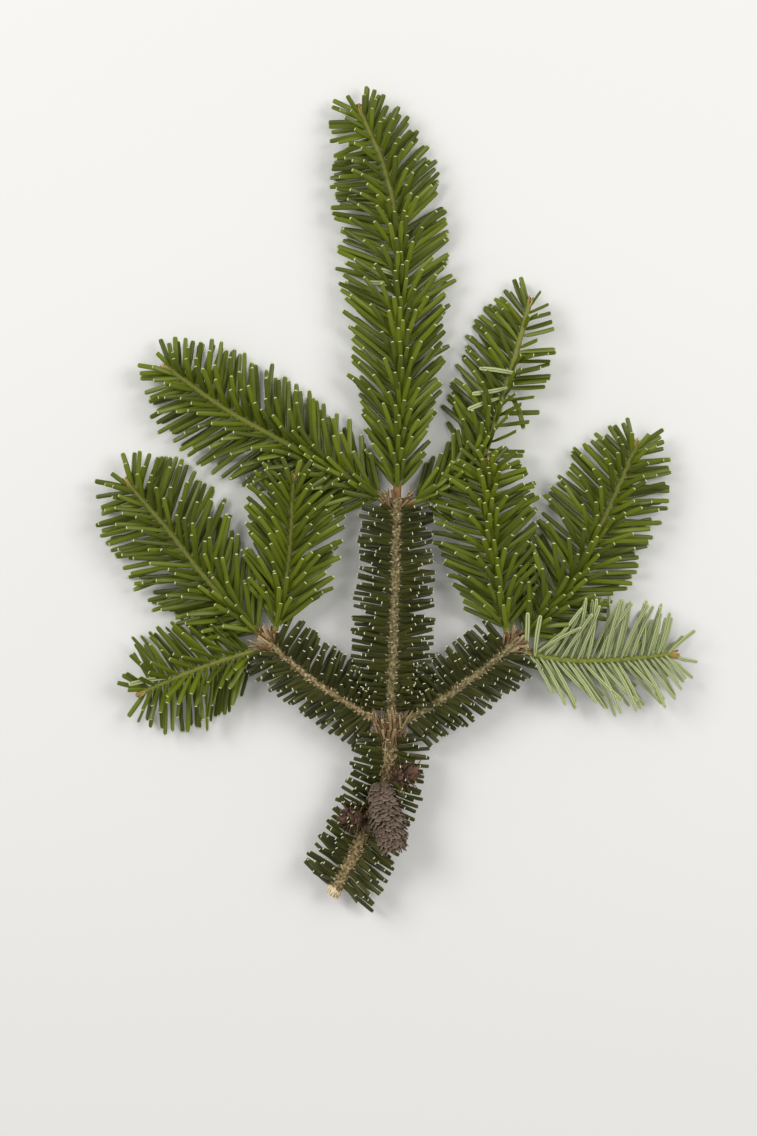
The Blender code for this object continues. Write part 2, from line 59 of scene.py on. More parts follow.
Limb = namedtuple("Limb", "points radii")
LIMBS = {
    "main_stem": Limb(
        [(-28.3, -168.0, 8.4), (-14.9, -142.4, 9.4), (-5.3, -118.1, 10.4), (-3.8, -96.2, 11.0)],
        (3.0, 2.7, 3.9)),
    "middle_bough": Limb([(-3.7, -97.5, 11.0), (-1.7, -42.0, 10.6), (-0.8, -0.8, 10.4)], (2.6, 2.3, 3.6)),
    "left_bough": Limb([(-5.0, -97.0, 10.9), (-32.5, -80.1, 10.3), (-56.6, -60.4, 10.0)], (1.9, 1.7, 3.0)),
    "right_bough": Limb([(-2.6, -97.4, 10.9), (23.9, -81.5, 10.3), (49.8, -61.3, 10.0)], (2.1, 1.9, 3.1)),
}
LIMB_STEP = 9.0

# A shoot starts inside its limb, its foot length before the limb's end. left and right give the
# side needles' angles to the stem at its foot, middle and tip. turned is how far the needles are
# turned about their own length, towards their edge.
Shoot = namedtuple(
    "Shoot", "limb foot points radii left right lengths fullness parted roll turned")
MIDDLE_FOOT = 1.2
SIDE_FOOT = 4.0
BARE_LENGTH = 4.0
SHOOTS = {
    "leader_shoot": Shoot(
        "middle_bough", MIDDLE_FOOT,
        [(0.6, 55.0, 10.6), (-0.2, 107.3, 10.2), (-5.8, 137.0, 9.8), (-16.0, 161.5, 9.4)],
        (1.75, 1.2), (38.0, 62.0, 88.0), (38.0, 56.0, 58.0), (26.5, 24.5), (1.0, 1.0), 0.62, 0.0, 0.0),
    "upper_left_shoot": Shoot(
        "middle_bough", SIDE_FOOT,
        [(-45.6, 21.2, 9.4), (-72.7, 36.4, 9.4), (-96.8, 53.7, 9.6)],
        (1.6, 1.1), (52.0, 60.0, 62.0), (48.0, 62.0, 66.0), (27.0, 26.5), (1.0, 1.0), 0.32, 0.0, 0.0),
    "upper_right_shoot": Shoot(
        "middle_bough", SIDE_FOOT,
        [(29.6, 8.2, 8.6), (43.4, 40.8, 9.4), (54.9, 80.9, 10.0)],
        (1.6, 1.1), (56.0, 66.0, 70.0), (62.0, 74.0, 66.0), (26.0, 17.0), (1.0, 0.6), 0.5, -26.0, 20.0),
    "left_outer_shoot": Shoot(
        "left_bough", MIDDLE_FOOT,
        [(-79.9, -36.0, 9.4), (-96.1, -15.3, 9.4), (-113.5, 5.0, 9.6)],
        (1.5, 1.1), (58.0, 64.0, 66.0), (44.0, 60.0, 62.0), (27.0, 28.0), (1.0, 1.0), 0.2, 0.0, 0.0),
    "left_inner_shoot": Shoot(
        "left_bough", SIDE_FOOT,
        [(-46.6, -30.0, 12.4), (-44.1, 6.9, 15.4)],
        (1.4, 1.0), (42.0, 52.0, 50.0), (40.0, 52.0, 50.0), (25.0, 25.5), (1.0, 1.0), 0.2, 0.0, 0.0),
    "left_lower_shoot": Shoot(
        "left_bough", SIDE_FOOT,
        [(-81.1, -71.4, 9.4), (-107.6, -82.3, 9.4)],
        (1.35, 1.0), (54.0, 74.0, 66.0), (56.0, 70.0, 86.0), (24.5, 24.0), (1.0, 1.0), 0.0, 0.0, 30.0),
    "right_inner_shoot": Shoot(
        "right_bough", SIDE_FOOT,
        [(41.0, -34.0, 12.6), (37.0, -8.0, 15.2), (37.2, 13.0, 17.6)],
        (1.45, 1.0), (44.0, 66.0, 70.0), (44.0, 62.0, 76.0), (24.0, 23.0), (1.0, 1.0), 0.9, 0.0, 0.0),
    "right_outer_shoot": Shoot(
        "right_bough", MIDDLE_FOOT,
        [(70.6, -38.6, 9.6), (84.6, -13.0, 9.6), (99.7, 21.3, 9.8)],
        (1.5, 1.1), (58.0, 72.0, 72.0), (50.0, 60.0, 62.0), (26.0, 24.5), (1.0, 1.0), 0.5, 0.0, 0.0),
    "right_lower_shoot": Shoot(
        "right_bough", SIDE_FOOT,
        [(66.6, -68.7, 9.6), (90.0, -69.0, 9.6), (114.5, -66.5, 9.6)],
        (1.4, 1.0), (36.0, 56.0, 58.0), (52.0, 74.0, 66.0), (24.0, 27.0), (1.0, 1.0), 0.0, 180.0, 0.0),
}

# Young needles: how they stand round their stem
YOUNG_PER_MM = 1.85
YOUNG_WIDTH = 2.1
YOUNG_THICKNESS = 0.62
TOP_ANGLE = 34.0
TOP_ANGLE_POWER = 1.5
LEAN_LOST = 0.6            # how much less the top needles lean forwards where the top is parted
TOP_RISE = 88.0
PARTED_RISE = 64.0
PARTED_HEIGHT = 0.55       # the highest root round the stem where the top is parted
OPENING_SHARE = 0.12
UNDER_DROP = 24.0
TOP_LENGTH_SHARE = 0.64
LENGTH_SHAPE = (0.55, 0.92, 1.0, 1.0, 0.92, 0.5)
ROSETTE = 0.07
ROSETTE_ANGLE_SHARE = 0.45
ANGLE_SPREAD = 5.0
LENGTH_SPREAD = 0.07
TWIST_SPREAD = 16.0
TURNED_SHARES = (0.3, 1.6)
BEND_SPREAD = 9.0
LOW_BEND = 6.0             # up, for needles whose height round the stem is below BEND_HEIGHT
HIGH_BEND = -8.0
BEND_HEIGHT = 0.3
YOUNG_WIDTH_SHARES = (0.92, 1.08)
NEEDLE_PATH_STEP = 3.0
ROOT_DEPTH = 0.2
LOWEST_TIP = 0.45          # above the floor

# The shoot that is turned over shows finer needles, which bend more
TURNED_OVER = 180.0
TURNED_OVER_WIDTH = 1.6
TURNED_OVER_BEND = 2.4

# Needles of the old wood: side, bare length at the limb's foot and end, angles and lengths there
Comb = namedtuple("Comb", "limb side trim angles lengths")
COMBS = {
    "main_stem_needles_left": Comb("main_stem", 1, (3.0, 4.0), (80.0, 82.0), (14.5, 13.0)),
    "main_stem_needles_right": Comb("main_stem", -1, (5.0, 4.0), (98.0, 86.0), (16.0, 14.0)),
    "middle_bough_needles_left": Comb("middle_bough", 1, (7.0, 4.5), (84.0, 80.0), (16.5, 13.5)),
    "middle_bough_needles_right": Comb("middle_bough", -1, (7.0, 4.5), (84.0, 80.0), (16.0, 13.5)),
    "left_bough_needles_inner": Comb("left_bough", -1, (8.5, 4.0), (82.0, 78.0), (16.0, 15.0)),
    "left_bough_needles_outer": Comb("left_bough", 1, (5.5, 4.0), (72.0, 64.0), (13.5, 15.0)),
    "right_bough_needles_inner": Comb("right_bough", 1, (8.5, 4.0), (92.0, 90.0), (15.5, 14.5)),
    "right_bough_needles_outer": Comb("right_bough", -1, (5.5, 4.0), (72.0, 66.0), (13.5, 15.5)),
}
OLD_PER_MM = 1.2           # on each side of a limb
OLD_WIDTH = 1.75
OLD_THICKNESS = 0.6
OLD_HEIGHTS = (-0.3, 0.45, 0.1, 0.68, -0.1, 0.3, 0.56)      # of the roots round the limb, in turn
OLD_HEIGHT_SPREAD = 0.08
OLD_WIDTH_SHARES = (0.9, 1.1)
OLD_DROP = 40.0
OLD_RISE = 88.0
OLD_SHORT_SHARE = 0.72     # length of the needles that stand straight up

# A needle's sections from root to tip: place, width and thickness, as shares
NEEDLE_SECTIONS = (
    (0.0, 0.85, 1.25), (0.035, 0.5, 1.0), (0.11, 0.7, 1.0), (0.3, 0.94, 1.0),
    (0.62, 1.0, 1.0), (0.93, 0.94, 0.95), (0.98, 0.72, 0.8), (1.0, 0.34, 0.45))
# Its ring, from the left edge over the top: across and up, as shares of half the width and of the
# thickness. The top has a groove, and below a midrib runs between two pale bands.
NEEDLE_RING = (
    (-1.0, 0.0), (-0.6, 0.46), (0.0, 0.26), (0.6, 0.46), (1.0, 0.0),
    (0.8, -0.34), (0.17, -0.46), (-0.17, -0.46), (-0.8, -0.34))
TONES = 3
# On the needles, the edge and the tip slots hold colours that are paler partly as painted highlight,
# partly from the pale underside and tip.
EDGE_SLOT = TONES
BAND_SLOT = TONES + 1
TIP_SLOT = TONES + 2
TONE = -1
RING_SLOTS = (TONE, TONE, TONE, TONE, EDGE_SLOT, BAND_SLOT, TONE, BAND_SLOT, EDGE_SLOT)
NOTCH = 0.012              # how far the middle of the tip lies back, as a share of the length


# Places

def shift_to_part():
    """Return the step from the branch's own frame to the part's, in millimetres."""
    mount = frame["record"]["mounts"][0]
    return np.array(mount["pos_m"]) * 1000.0 - np.array(CUT_POINT)


SHIFT = shift_to_part()
FLOOR_HEIGHT = -SHIFT[2]
FLOOR_GAP = 0.05           # no point of a needle lies lower than this above the floor


def to_part(points):
    """Turn places in millimetres in the branch's frame into metres in the part's."""
    return (np.asarray(points, dtype=float) + SHIFT) * 0.001


def smooth_path(points, step):
    """Return points about a step apart on a smooth curve through the given ones."""
    knots = [Vector(point) for point in points]
    first = knots[0] * 2.0 - knots[1]
    last = knots[-1] * 2.0 - knots[-2]
    knots = [first] + knots + [last]
    path = []
    for before, start, end, after in zip(knots, knots[1:], knots[2:], knots[3:]):
        pieces = max(1, round((end - start).length / step))
        for piece in range(pieces):
            t = piece / pieces
            path.append(0.5 * (2.0 * start + (end - before) * t
                               + (2.0 * before - 5.0 * start + 4.0 * end - after) * t ** 2
                               + (3.0 * start - before - 3.0 * end + after) * t ** 3))
    path.append(knots[-2])
    return path


def frame_of(forward, roll=0.0):
    """Return the left and the up direction across a limb that runs forwards."""
    left = Vector((0.0, 0.0, 1.0)).cross(forward).normalized()
    up = forward.cross(left).normalized()
    turn = Matrix.Rotation(math.radians(roll), 3, forward)
    return turn @ left, turn @ up


def direction_at(path, index):
    """Return the direction of a path at one of its points."""
    before = path[max(index - 1, 0)]
    after = path[min(index + 1, len(path) - 1)]
    return (after - before).normalized()


def point_at(path, share):
    """Return the place and the direction at a share of a path's length."""
    spans = [(end - start).length for start, end in zip(path, path[1:])]
    left_over = share * sum(spans)
    for start, end, span in zip(path, path[1:], spans):
        if left_over <= span:
            return start.lerp(end, left_over / span), (end - start).normalized()
        left_over -= span
    return path[-1], (path[-1] - path[-2]).normalized()


def path_length(path):
    return sum((end - start).length for start, end in zip(path, path[1:]))


def profile(values, share):
    """Return the value at a share of the way along evenly spaced values."""
    place = min(max(share, 0.0), 1.0) * (len(values) - 1)
    index = min(int(place), len(values) - 2)
    return values[index] + (values[index + 1] - values[index]) * (place - index)


def limb_path(name, step=LIMB_STEP):
    """Return points along a limb, a step apart."""
    return smooth_path(LIMBS[name].points, step)


def limb_radius(name, length, share):
    """Return a limb's radius at a share of its length, with the swelling near its end."""
    foot, middle, end = LIMBS[name].radii
    swelling = max(0.0, 1.0 - (1.0 - share) * length / LIMB_STEP)
    return foot + (middle - foot) * share + (end - middle) * swelling


def shoot_path(shoot, step):
    """Return points along a shoot, a step apart, from its foot inside its limb."""
    limb = limb_path(shoot.limb)
    foot = limb[-1] - direction_at(limb, len(limb) - 1) * shoot.foot
    return smooth_path([foot] + shoot.points, step)


# Materials

SPECULAR = 0.28
GRAIN_SCALE = 1500.0
GRAIN_DETAIL = 3.0
GLOSS_SHARES = (0.8, 1.25)         # of the roughness, at the glossiest and the dullest spots
BUMP_DISTANCE = 0.0001             # in metres
NEEDLE_BUMP = 0.15
BARK_ROUGHNESS = 0.85
BARK_BUMP = 0.6
BARK_GRAIN_SCALE = 2500.0
MOTTLE_SCALE = 900.0
MOTTLE_DETAIL = 4.0
MOTTLE_STOPS = (0.3, 0.5, 0.72)    # of the noise, for the dark, the middle and the light tone
SCALE_ROUGHNESS = 0.8
SCALE_BUMP = 0.3


def new_material(name, colour, roughness, bump=0.0, grain_scale=GRAIN_SCALE):
    """Return a material of one plain colour, with fine relief and uneven gloss from noise."""
    material = bpy.data.materials.new(name)
    material.use_nodes = True
    nodes = material.node_tree.nodes
    links = material.node_tree.links
    shader = nodes["Principled BSDF"]
    shader.inputs["Base Color"].default_value = (*colour, 1.0)
    shader.inputs["Specular IOR Level"].default_value = SPECULAR
    coordinates = nodes.new("ShaderNodeTexCoord")
    grain = nodes.new("ShaderNodeTexNoise")
    grain.inputs["Scale"].default_value = grain_scale
    grain.inputs["Detail"].default_value = GRAIN_DETAIL
    links.new(coordinates.outputs["Object"], grain.inputs["Vector"])
    gloss = nodes.new("ShaderNodeMapRange")
    glossiest, dullest = GLOSS_SHARES
    gloss.inputs["To Min"].default_value = roughness * glossiest
    gloss.inputs["To Max"].default_value = min(1.0, roughness * dullest)
    links.new(grain.outputs["Fac"], gloss.inputs["Value"])
    links.new(gloss.outputs["Result"], shader.inputs["Roughness"])
    if bump:
        relief = nodes.new("ShaderNodeBump")
        relief.inputs["Strength"].default_value = bump
        relief.inputs["Distance"].default_value = BUMP_DISTANCE
        links.new(grain.outputs["Fac"], relief.inputs["Height"])
        links.new(relief.outputs["Normal"], shader.inputs["Normal"])
    return material


def young_materials():
    """Return the six materials of young needles: three tones, edge, band and tip. The edge and the tip are
    paler partly as painted highlight.
    """
    tones = [(0.086, 0.112, 0.004), (0.116, 0.146, 0.005), (0.064, 0.084, 0.004)]
    made = [new_material(f"young_green_{index}", tone, 0.38, bump=NEEDLE_BUMP)
            for index, tone in enumerate(tones)]
    # The edge colour is paler than the green: partly the pale underside that shows at the margin, partly
    # painted highlight.
    made.append(new_material("young_edge_and_painted_highlight", (0.20, 0.26, 0.07), 0.45))
    made.append(new_material("young_band", (0.36, 0.40, 0.20), 0.6))
    # The tip colour is pale: partly the needle's own pale tip, partly painted highlight.
    made.append(new_material("young_tip_and_painted_highlight", (0.50, 0.52, 0.26), 0.4))
    return made


def old_materials():
    """Return the six materials of old needles, in the same order. Again the edge and the tip are paler
    partly as painted highlight.
    """
    tones = [(0.046, 0.050, 0.009), (0.060, 0.064, 0.011), (0.036, 0.041, 0.009)]
    made = [new_material(f"old_green_{index}", tone, 0.45, bump=NEEDLE_BUMP)
            for index, tone in enumerate(tones)]
    # The edge colour is paler than the dark green: partly the pale underside that shows at the margin,
    # partly painted highlight.
    made.append(new_material("old_edge_and_painted_highlight", (0.10, 0.12, 0.06), 0.5))
    made.append(new_material("old_band", (0.32, 0.36, 0.27), 0.6))
    # The tip colour is cream: partly the needle's own pale tip, partly painted highlight.
    made.append(new_material("old_tip_and_painted_highlight", (0.62, 0.60, 0.42), 0.5))
    return made


def bark_material(name, dark, middle, light):
    """Return bark mottled from a dark over a middle to a light tone."""
    material = new_material(name, middle, BARK_ROUGHNESS, bump=BARK_BUMP, grain_scale=BARK_GRAIN_SCALE)
    nodes = material.node_tree.nodes
    links = material.node_tree.links
    shader = nodes["Principled BSDF"]
    mottle = nodes.new("ShaderNodeTexNoise")
    mottle.inputs["Scale"].default_value = MOTTLE_SCALE
    mottle.inputs["Detail"].default_value = MOTTLE_DETAIL
    coordinates = nodes.new("ShaderNodeTexCoord")
    links.new(coordinates.outputs["Object"], mottle.inputs["Vector"])
    ramp = nodes.new("ShaderNodeValToRGB")
    first, between, last = MOTTLE_STOPS
    stops = ramp.color_ramp.elements
    stops[0].position = first
    stops[0].color = (*dark, 1.0)
    stops[1].position = last
    stops[1].color = (*light, 1.0)
    stops.new(between).color = (*middle, 1.0)
    links.new(mottle.outputs["Fac"], ramp.inputs["Fac"])
    links.new(ramp.outputs["Color"], shader.inputs["Base Color"])
    return material


# Meshes

class Pile:
    """Vertices, faces and material slots of one piece, gathered from many small shapes."""

    def __init__(self):
        self.points = []
        self.faces = []
        self.slots = []
        self.count = 0

    def add(self, points, faces, slots):
        """Add points, an (n, 3) array, with faces that count from 0 and a slot for each face."""
        self.points.append(np.asarray(points, dtype=float))
        self.faces.extend([corner + self.count for corner in face] for face in faces)
        self.slots.extend(slots)
        self.count += len(points)

    def add_many(self, points, faces, slots):
        """Add copies of one shape: points (copies, n, 3), its faces, and slots (copies, faces)."""
        copies, size, _ = points.shape
        self.points.append(points.reshape(-1, 3))
        starts = self.count + np.arange(copies) * size
        columns = {}
        for place, face in enumerate(faces):
            columns.setdefault(len(face), []).append(place)
        for corners, places in columns.items():
            block = np.array([faces[place] for place in places])
            moved = block[None, :, :] + starts[:, None, None]
            self.faces.extend(moved.reshape(-1, corners).tolist())
            self.slots.extend(slots[:, places].ravel().tolist())
        self.count += copies * size

    def build(self, name, materials):
        """Return one object with all the shapes, in the part's metres."""
        mesh = bpy.data.meshes.new(name)
        points = to_part(np.concatenate(self.points))
        mesh.from_pydata(points.tolist(), [], self.faces)
        for material in materials:
            mesh.materials.append(material)
        mesh.polygons.foreach_set("material_index", np.array(self.slots, dtype=np.int32))
        mesh.shade_smooth()
        obj = bpy.data.objects.new(name, mesh)
        bpy.context.scene.collection.objects.link(obj)
        return obj


def grid_faces(sections, ring):
    """Return the faces of a closed tube of rings: its sides, its foot cap and its tip cap.

    The tip cap is a fan round one more point, which comes last.
    """
    sides = []
    for section in range(sections - 1):
        for column in range(ring):
            after = (column + 1) % ring
            near = section * ring
            sides.append((near + column, near + after, near + ring + after, near + ring + column))
    foot = [tuple(reversed(range(ring)))]
    last = (sections - 1) * ring
    tip = [(last + column, last + (column + 1) % ring, sections * ring) for column in range(ring)]
    return sides, foot, tip


# Needles

Needle = namedtuple("Needle", "root direction face length width thickness side_bend up_bend tone")


def needle_template():
    """Return a needle's faces and their slots, with TONE where the needle's own tone goes."""
    sections = len(NEEDLE_SECTIONS)
    ring = len(NEEDLE_RING)
    sides, foot, tip = grid_faces(sections, ring)
    slots = []
    for section in range(sections - 1):
        for column in range(ring):
            if section == 0:
                slots.append(EDGE_SLOT)
            elif section >= sections - 2:
                slots.append(TIP_SLOT)
            else:
                slots.append(RING_SLOTS[column])
    slots += [EDGE_SLOT] * len(foot) + [TIP_SLOT] * len(tip)
    return sides + foot + tip, np.array(slots)


def bent_axes(needles, shares):
    """Return the middle line and the across and face directions of bent needles at the shares."""
    direction = np.array([needle.direction[:] for needle in needles])
    face = np.array([needle.face[:] for needle in needles])
    face -= direction * np.sum(face * direction, axis=1, keepdims=True)
    face /= np.linalg.norm(face, axis=1, keepdims=True)
    across = np.cross(direction, face)
    side = np.radians([needle.side_bend for needle in needles])[:, None, None]
    rise = np.radians([needle.up_bend for needle in needles])[:, None, None]
    along = shares[None, :, None]
    forward = direction[:, None] + across[:, None] * side * along + face[:, None] * rise * along
    middle = (direction[:, None] * along + across[:, None] * side * along ** 2 / 2.0
              + face[:, None] * rise * along ** 2 / 2.0)
    forward /= np.linalg.norm(forward, axis=2, keepdims=True)
    width_way = across[:, None] - forward * np.sum(across[:, None] * forward, axis=2, keepdims=True)
    width_way /= np.linalg.norm(width_way, axis=2, keepdims=True)
    face_way = np.cross(width_way, forward)
    lengths = np.array([needle.length for needle in needles])[:, None, None]
    roots = np.array([needle.root[:] for needle in needles])[:, None]
    return roots + middle * lengths, width_way, face_way, forward


def add_needles(pile, needles):
    """Add detailed needles: each has a foot, a groove, two pale bands, a midrib and a pale tip. On
    needles, the paleness of the tip and the edges is partly painted highlight.
    """
    sections = np.array(NEEDLE_SECTIONS)
    ring = np.array(NEEDLE_RING)
    middle, width_way, face_way, forward = bent_axes(needles, sections[:, 0])
    half_width = np.array([needle.width / 2.0 for needle in needles])[:, None, None, None]
    thickness = np.array([needle.thickness for needle in needles])[:, None, None, None]
    across = ring[None, None, :, 0, None] * sections[None, :, 1, None, None] * half_width
    up = ring[None, None, :, 1, None] * sections[None, :, 2, None, None] * thickness
    points = middle[:, :, None] + width_way[:, :, None] * across + face_way[:, :, None] * up
    points = points.reshape(len(needles), -1, 3)
    lengths = np.array([needle.length for needle in needles])[:, None]
    notch = middle[:, -1] - forward[:, -1] * lengths * NOTCH
    points = np.concatenate([points, notch[:, None]], axis=1)
    points[:, :, 2] = np.maximum(points[:, :, 2], FLOOR_HEIGHT + FLOOR_GAP)
    faces, slots = needle_template()
    tones = np.array([needle.tone for needle in needles])[:, None]
    pile.add_many(points, faces, np.where(slots[None, :] == TONE, tones, slots[None, :]))


def lay_on_floor(root, direction, face, length, up_bend):
    """Return a needle's direction, raised just far enough that its tip stays above the floor."""
    sag = math.radians(up_bend) / 2.0 * face.z
    lowest = FLOOR_HEIGHT + LOWEST_TIP
    if root.z + (direction.z + sag) * length >= lowest:
        return direction
    slope = (lowest - root.z) / length - sag
    flat = Vector((direction.x, direction.y, 0.0)).normalized()
    return (flat * math.sqrt(max(0.0, 1.0 - slope * slope)) + Vector((0.0, 0.0, slope))).normalized()


def aim(forward, outward, up, angle, rise):
    """Return a direction at an angle to the stem, turned up from its side by the rise."""
    sideways = outward * math.cos(math.radians(rise)) + up * math.sin(math.radians(rise))
    return forward * math.cos(math.radians(angle)) + sideways * math.sin(math.radians(angle))


def turned_face(direction, up, angle):
    """Return a needle's upper side: towards up, turned about the needle by an angle."""
    face = (up - direction * up.dot(direction)).normalized()
    return Matrix.Rotation(math.radians(angle), 3, direction) @ face


def shoot_needle(shoot, path, index, count, rng):
    """Return one needle of a shoot: its turn round the stem sets its side, rise and length."""
    bare = (shoot.foot + BARE_LENGTH) / path_length(path)
    share = bare + (1.0 - bare) * (index + 0.5) / count
    place, forward = point_at(path, share)
    left, up = frame_of(forward, shoot.roll)
    turn = index * GOLDEN_ANGLE
    is_left = math.sin(turn) >= 0.0
    height = math.cos(turn)
    side_angle = profile(shoot.left if is_left else shoot.right, share)
    opening = min(1.0, max(0.0, (share - shoot.parted) / OPENING_SHARE))
    top_rise = TOP_RISE + (PARTED_RISE - TOP_RISE) * opening
    if height > 0.0:
        lean = height ** TOP_ANGLE_POWER * (1.0 - LEAN_LOST * opening)
        angle = side_angle + (TOP_ANGLE - side_angle) * lean
        rise = top_rise * height
        length_share = 1.0 - (1.0 - TOP_LENGTH_SHARE) * height
    else:
        angle = side_angle
        rise = UNDER_DROP * height
        length_share = 1.0
    closing = max(0.0, 1.0 - (1.0 - share) / ROSETTE)
    angle *= 1.0 - (1.0 - ROSETTE_ANGLE_SHARE) * closing
    angle += rng.uniform(-ANGLE_SPREAD, ANGLE_SPREAD)
    length = shoot.lengths[0 if is_left else 1] * length_share * profile(LENGTH_SHAPE, share)
    length *= 1.0 + rng.uniform(-LENGTH_SPREAD, LENGTH_SPREAD)
    if rng.random() > shoot.fullness[0 if is_left else 1]:
        return None
    outward = left if is_left else -left
    root_height = height + (min(height, PARTED_HEIGHT) - height) * opening
    round_stem = outward * math.sqrt(1.0 - root_height ** 2) + up * root_height
    root = place + round_stem * (profile(shoot.radii, share) - ROOT_DEPTH)
    direction = aim(forward, outward, up, angle, rise)
    twist = rng.uniform(-TWIST_SPREAD, TWIST_SPREAD) + shoot.turned * rng.uniform(*TURNED_SHARES)
    face = turned_face(direction, up, twist * (1.0 if is_left else -1.0))
    up_bend = rng.uniform(-BEND_SPREAD, BEND_SPREAD)
    up_bend += LOW_BEND if height < BEND_HEIGHT else HIGH_BEND
    side_bend = rng.uniform(-BEND_SPREAD, BEND_SPREAD)
    width = YOUNG_WIDTH
    if shoot.roll == TURNED_OVER:
        width = TURNED_OVER_WIDTH
        side_bend *= TURNED_OVER_BEND
    direction = lay_on_floor(root, direction, face, length, up_bend)
    width *= rng.uniform(*YOUNG_WIDTH_SHARES)
    return Needle(root, direction, face, length, width, YOUNG_THICKNESS, side_bend, up_bend,
                  rng.randrange(TONES))


def comb_needle(comb, path, index, count, rng):
    """Return one needle of the old wood: it grows from the bark, the higher the straighter up."""
    length_of_limb = path_length(path)
    first = comb.trim[0] / length_of_limb
    last = 1.0 - comb.trim[1] / length_of_limb
    within = (index + 0.5) / count
    share = first + (last - first) * within
    place, forward = point_at(path, share)
    left, up = frame_of(forward)
    outward = left * comb.side
    height = OLD_HEIGHTS[index % len(OLD_HEIGHTS)]
    height += rng.uniform(-OLD_HEIGHT_SPREAD, OLD_HEIGHT_SPREAD)
    angle = profile(comb.angles, within) + rng.uniform(-ANGLE_SPREAD, ANGLE_SPREAD)
    length = profile(comb.lengths, within) * (1.0 + rng.uniform(-LENGTH_SPREAD, LENGTH_SPREAD))
    if height > 0.0:
        rise = OLD_RISE * height
        length *= 1.0 - (1.0 - OLD_SHORT_SHARE) * height
    else:
        rise = OLD_DROP * height
    round_limb = outward * math.sqrt(max(0.0, 1.0 - height ** 2)) + up * height
    radius = limb_radius(comb.limb, length_of_limb, share)
    root = place + round_limb * (radius - ROOT_DEPTH)
    direction = aim(forward, outward, up, angle, rise)
    face = turned_face(direction, up, rng.uniform(-TWIST_SPREAD, TWIST_SPREAD))
    up_bend = rng.uniform(0.0, 2.0 * BEND_SPREAD)
    side_bend = rng.uniform(-BEND_SPREAD, BEND_SPREAD)
    direction = lay_on_floor(root, direction, face, length, up_bend)
    width = OLD_WIDTH * rng.uniform(*OLD_WIDTH_SHARES)
    return Needle(root, direction, face, length, width, OLD_THICKNESS, side_bend, up_bend,
                  rng.randrange(TONES))


# Needles that stand out of line in the photo: curled by a bend, or with the pale side up
Odd = namedtuple("Odd", "shoot root tip bend shows_underside")
ODD_NEEDLES = (
    Odd("leader_shoot", (-0.6, 86.0, 12.0), (-5.0, 94.0, 15.0), 120.0, True),
    Odd("leader_shoot", (-0.4, 91.0, 12.0), (-4.6, 99.0, 15.0), 110.0, True),
    Odd("upper_right_shoot", (50.8, 50.8, 12.0), (34.0, 55.0, 16.0), 12.0, True),
    Odd("upper_right_shoot", (45.5, 45.4, 12.0), (31.0, 41.0, 16.0), -12.0, True),
    Odd("upper_right_shoot", (42.0, 41.0, 12.0), (28.5, 37.0, 15.0), 8.0, True),
    Odd("upper_right_shoot", (45.4, 42.0, 12.0), (56.0, 38.0, 14.0), 110.0, False),
    Odd("right_lower_shoot", (53.0, -66.5, 11.5), (55.0, -49.0, 17.0), 8.0, True),
    Odd("right_lower_shoot", (57.0, -67.5, 11.5), (57.5, -50.0, 17.0), -10.0, True),
    Odd("left_lower_shoot", (-96.0, -76.5, 10.5), (-113.0, -76.0, 15.0), 20.0, True),
)


def odd_needle(odd):
    """Return a needle that stands out of line, from its root to its tip before it is bent."""
    way = Vector(odd.tip) - Vector(odd.root)
    up = Vector((0.0, 0.0, -1.0 if odd.shows_underside else 1.0))
    direction = way.normalized()
    face = turned_face(direction, up, 0.0)
    return Needle(Vector(odd.root), direction, face, way.length, YOUNG_WIDTH, YOUNG_THICKNESS,
                  odd.bend, 0.0, 0)


def build_needles():
    """Add the needles: one piece for each comb of the old wood and one for each shoot."""
    rng = random.Random(SEED)
    young = young_materials()
    old = old_materials()
    for name, comb in COMBS.items():
        path = limb_path(comb.limb)
        count = round((path_length(path) - sum(comb.trim)) * OLD_PER_MM)
        pile = Pile()
        add_needles(pile, [comb_needle(comb, path, index, count, rng) for index in range(count)])
        finish_piece(pile.build(name + "_fine", old), "old_needles", name)
    for name, shoot in SHOOTS.items():
        path = shoot_path(shoot, NEEDLE_PATH_STEP)
        count = round((path_length(path) - shoot.foot - BARE_LENGTH) * YOUNG_PER_MM)
        needles = [shoot_needle(shoot, path, index, count, rng) for index in range(count)]
        needles += [odd_needle(odd) for odd in ODD_NEEDLES if odd.shoot == name]
        pile = Pile()
        add_needles(pile, [needle for needle in needles if needle])
        slot = "pale_undersides" if shoot.roll == TURNED_OVER else "young_needles"
        finish_piece(pile.build(name + "_needles", young), slot, name)


def finish_piece(obj, slot, *nodes):
    """Let a piece ride on the part and stand for its nodes. The slot is not used."""
    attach(obj, "root")
    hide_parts(*nodes)


# Stems

def tube_points(path, radii, sides, relief=None):
    """Return the rings of a tube along a path, each point raised by the relief there."""
    rings = []
    along = 0.0
    for index, (point, radius) in enumerate(zip(path, radii)):
        if index:
            along += (point - path[index - 1]).length
        left, up = frame_of(direction_at(path, index))
        ring = []
        for side in range(sides):
            turn = 2.0 * math.pi * side / sides
            raised = radius + (relief(along, turn) if relief else 0.0)
            ring.append(point + (up * math.cos(turn) - left * math.sin(turn)) * raised)
        rings.append(ring)
    return np.array([[corner[:] for corner in ring] for ring in rings])


def add_tube(pile, points, slots_of_section):
    """Add a closed tube of rings, with one slot for each stretch between two rings."""
    sections, ring, _ = points.shape
    sides, foot, tip = grid_faces(sections, ring)
    middle = points[-1].mean(axis=0)
    flat = np.concatenate([points.reshape(-1, 3), middle[None]])
    slots = [slot for slot in slots_of_section for _ in range(ring)]
    slots += [slots_of_section[0]] * len(foot) + [slots_of_section[-1]] * len(tip)
    pile.add(flat, sides + foot + tip, slots)


